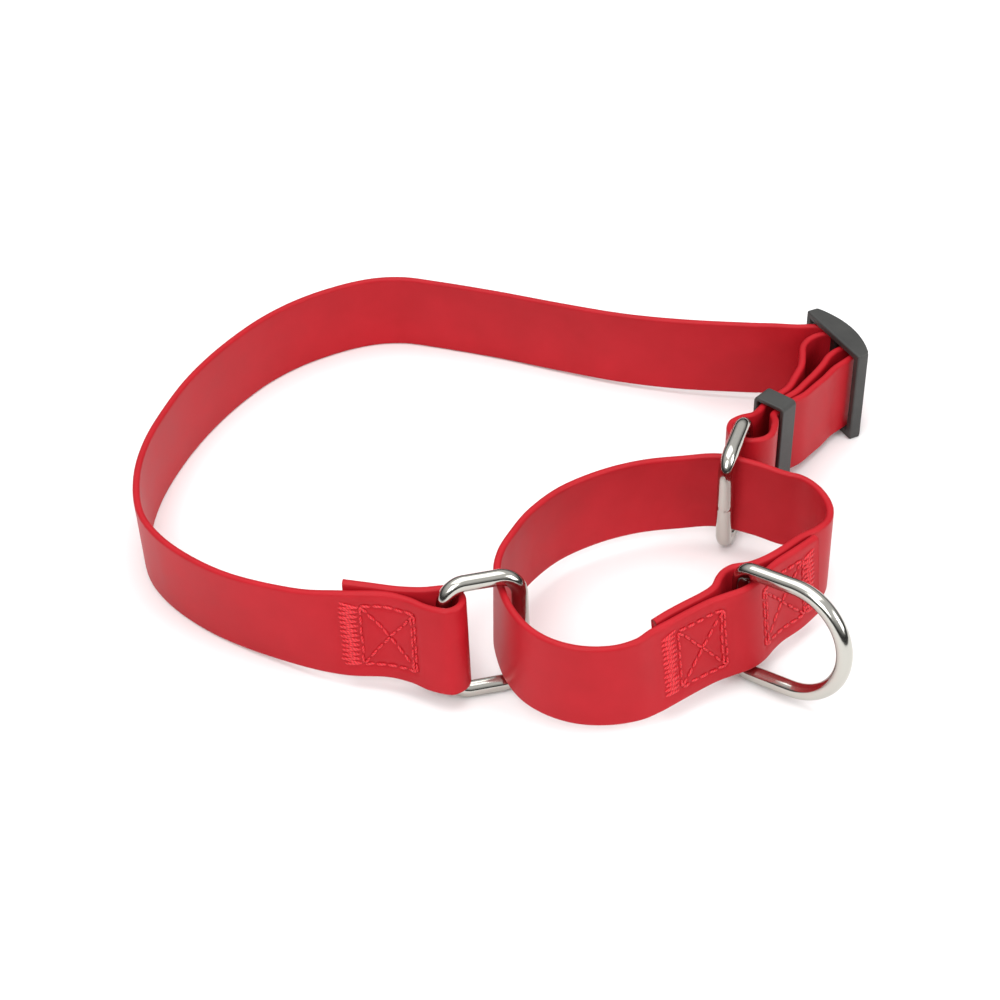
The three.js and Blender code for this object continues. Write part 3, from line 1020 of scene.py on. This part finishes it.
@dataclass
class Keeper:
    """A rectangular loop of moulded plastic round the folded strap."""

    across: float = 10.4
    along: float = 6.4
    height: float = 28.6
    wall: float = 1.3
    base: float = 0.7
    corner: float = 1.4

    def build(self) -> bpy.types.Object:
        """Sweeps the wall's section round the loop: outer and inner outlines, joined at both open ends."""
        w, h, t = self.across / 2, self.height / 2, self.wall
        outer = rounded_rectangle((-w, w), (-h, h), self.corner)
        inner = rounded_rectangle((t - w, w - t), (t - h, h - t), 0.3)
        half = self.along / 2
        rings = [(outer, -half), (outer, half), (inner, half), (inner, -half)]
        turn = math.radians(KEEPER_HEADING)
        middle = np.array([*KEEPER_CENTRE, self.base + h])
        along_ = np.array([math.cos(turn), math.sin(turn), 0])
        across_ = np.array([-math.sin(turn), math.cos(turn), 0])
        up = np.array([0, 0, 1.0])
        loops = [middle + s * along_ + ring[:, :1] * across_ + ring[:, 1:] * up for ring, s in rings]
        piece = make_mesh("strap_keeper", np.vstack(loops), grid_faces(4, len(outer), True).tolist())
        round_edges(piece, 0.4, 3)
        return piece


# ---- Studio ------------------------------------------------------------------


@dataclass
class Studio:
    """A white sweep under broad soft light, and the camera."""

    camera_place: tuple[float, float, float] = (-3.0, -537.5, 427.0)
    elevation: float = 38.0
    lens: float = 86.4
    floor_colour: str = "F4F4F4"
    floor_reach: float = 3000.0
    floor_drop: float = 0.05
    sky_strength: float = 0.85
    lights: tuple = field(
        default=(
            ("key light", (-220.0, -640.0, 560.0), 420.0, 3.3),
            ("fill light", (640.0, -320.0, 420.0), 380.0, 2.1),
            ("top light", (-60.0, 60.0, 900.0), 900.0, 5.3),
        )
    )

    def light(self, name: str, place: tuple, size: float, power: float) -> None:
        """Adds a square soft light aimed at the collar.

        Args:
            name: its name.
            place: where it stands.
            size: its side.
            power: its power in watts.
        """
        lamp = bpy.data.lights.new(name, "AREA")
        lamp.size = size * MM
        lamp.energy = power
        stand = bpy.data.objects.new(name, lamp)
        spot = np.array(place)
        flat = math.hypot(spot[0], spot[1])
        stand.location = (spot * MM).tolist()
        stand.rotation_euler = (math.atan2(flat, spot[2]), 0, math.atan2(-spot[0], spot[1]) + math.pi)
        bpy.context.scene.collection.objects.link(stand)

    def build(self) -> None:
        """Makes the floor, the lights, the surroundings and the camera."""
        scene = bpy.context.scene
        edge = self.floor_reach
        signs = ((-1, -1), (1, -1), (1, 1), (-1, 1))
        corners = np.array([(x * edge, y * edge, -self.floor_drop) for x, y in signs])
        mesh = bpy.data.meshes.new("studio floor")
        mesh.from_pydata((corners * MM).tolist(), [], [(0, 1, 2, 3)])
        floor = bpy.data.objects.new("studio floor", mesh)
        scene.collection.objects.link(floor)
        paper, _ = new_material("Paper sweep", {"Base Color": linear(self.floor_colour), "Roughness": 0.9})
        mesh.materials.append(paper)
        for light in self.lights:
            self.light(*light)
        world = bpy.data.worlds.new("studio surroundings")
        world.use_nodes = True
        tree = world.node_tree
        way = add_node(tree, "ShaderNodeTexCoord").outputs["Generated"]
        height = add_node(tree, "ShaderNodeSeparateXYZ", inputs={"Vector": way}).outputs["Z"]
        bands = add_node(
            tree,
            "ShaderNodeValToRGB",
            inputs={"Fac": height},
            stops={0.18: (0.05, 0.05, 0.05, 1), 0.62: (1, 1, 1, 1)},
        )
        background = tree.nodes["Background"]
        tree.links.new(bands.outputs["Color"], background.inputs["Color"])
        background.inputs["Strength"].default_value = self.sky_strength
        scene.world = world
        scene.view_settings.view_transform = "Standard"
        camera = bpy.data.objects.new("camera", bpy.data.cameras.new("camera"))
        camera.data.lens = self.lens
        camera.data.sensor_width = 36.0
        camera.data.clip_end = 20.0
        camera.location = (np.array(self.camera_place) * MM).tolist()
        camera.rotation_euler = (math.radians(90 - self.elevation), 0, 0)
        scene.collection.objects.link(camera)
        scene.camera = camera


# ---- The collar --------------------------------------------------------------


class Collar:
    """The whole collar, piece by piece, each on the body that carries it."""

    def __init__(self) -> None:
        """Settles the routes and the finishes."""
        self.neck = neck_route()
        self.control = control_route()
        self.webbing = CoatedWebbing().material()
        self.wire = NickelWire().material()
        self.plastic = MouldedAcetal().material()
        self.thread = BondedThread().material()

    def straps(self) -> None:
        """Builds both straps with the seams that draw them in."""
        neck_seams = [
            Seam(self.neck, 49.8, 66.1, 1, tack_length=4.8),
            Seam(self.neck, 2.5, 0.0, 1, doubled_at_start=False, strokes=0),
        ]
        left = Seam(self.control, 265.4, 260.0, -1, length=15.2, tack_length=4.3, doubled_at_start=False)
        right = Seam(self.control, 293.5, 311.2, -1, length=17.2, tack_length=4.3)
        inner_left = Seam(self.control, 7.6, 1.2, 1, doubled_at_start=False)
        inner_right = Seam(self.control, 35.0, 51.5, 1)
        pieces = (
            (Strap("neck_webbing", self.neck, neck_seams), "neck", "neck_strap"),
            (
                Strap("control_webbing", self.control, [left, right, inner_left, inner_right], step=0.45),
                "control",
                "control_strap",
            ),
        )
        for strap, body, node in pieces:
            dress(strap.build(), self.webbing, body, Slot.WEBBING, node)
        threads = (
            ("neck_seam", neck_seams[0], "neck", ("neck_box_stitch", "neck_bartack")),
            ("neck_seam_inner", neck_seams[1], "neck", ()),
            ("left_seam", left, "control", ("left_box_stitch", "left_bartack")),
            ("right_seam", right, "control", ("right_box_stitch", "right_bartack")),
            ("left_seam_inner", inner_left, "control", ()),
            ("right_seam_inner", inner_right, "control", ()),
        )
        for name, seam, body, nodes in threads:
            dress(seam.build(name), self.thread, body, Slot.THREAD, *nodes)

    def hardware(self) -> None:
        """Builds the three wire rings, the slider and the keeper."""
        rings = (
            (RectangleRing("left_wire_ring", (-7.1, -69.8, 17.8), 15.0, lean=10.5), "left_ring"),
            (RectangleRing("right_wire_ring", (62.4, -6.3, 18.4), 70.5, tilt=6.0, weld=-10.0), "right_ring"),
            (DRing("leash_d_ring", D_CENTRE, -38.6, lean=5.6, tilt=6.4), "d_ring"),
        )
        for ring, node in rings:
            dress(ring.build(), self.wire, node, Slot.WIRE, node)
        shell, bars = Slider().build()
        dress(shell, self.plastic, "slider", Slot.PLASTIC, "slider")
        dress(bars, self.plastic, "slider", Slot.PLASTIC)
        dress(Keeper().build(), self.plastic, "keeper", Slot.PLASTIC, "keeper")


def main() -> None:
    """Builds the collar and the studio."""
    logging.basicConfig(level=logging.INFO)
    collar = Collar()
    collar.straps()
    collar.hardware()
    Studio().build()


if __name__ == "__main__":
    main()
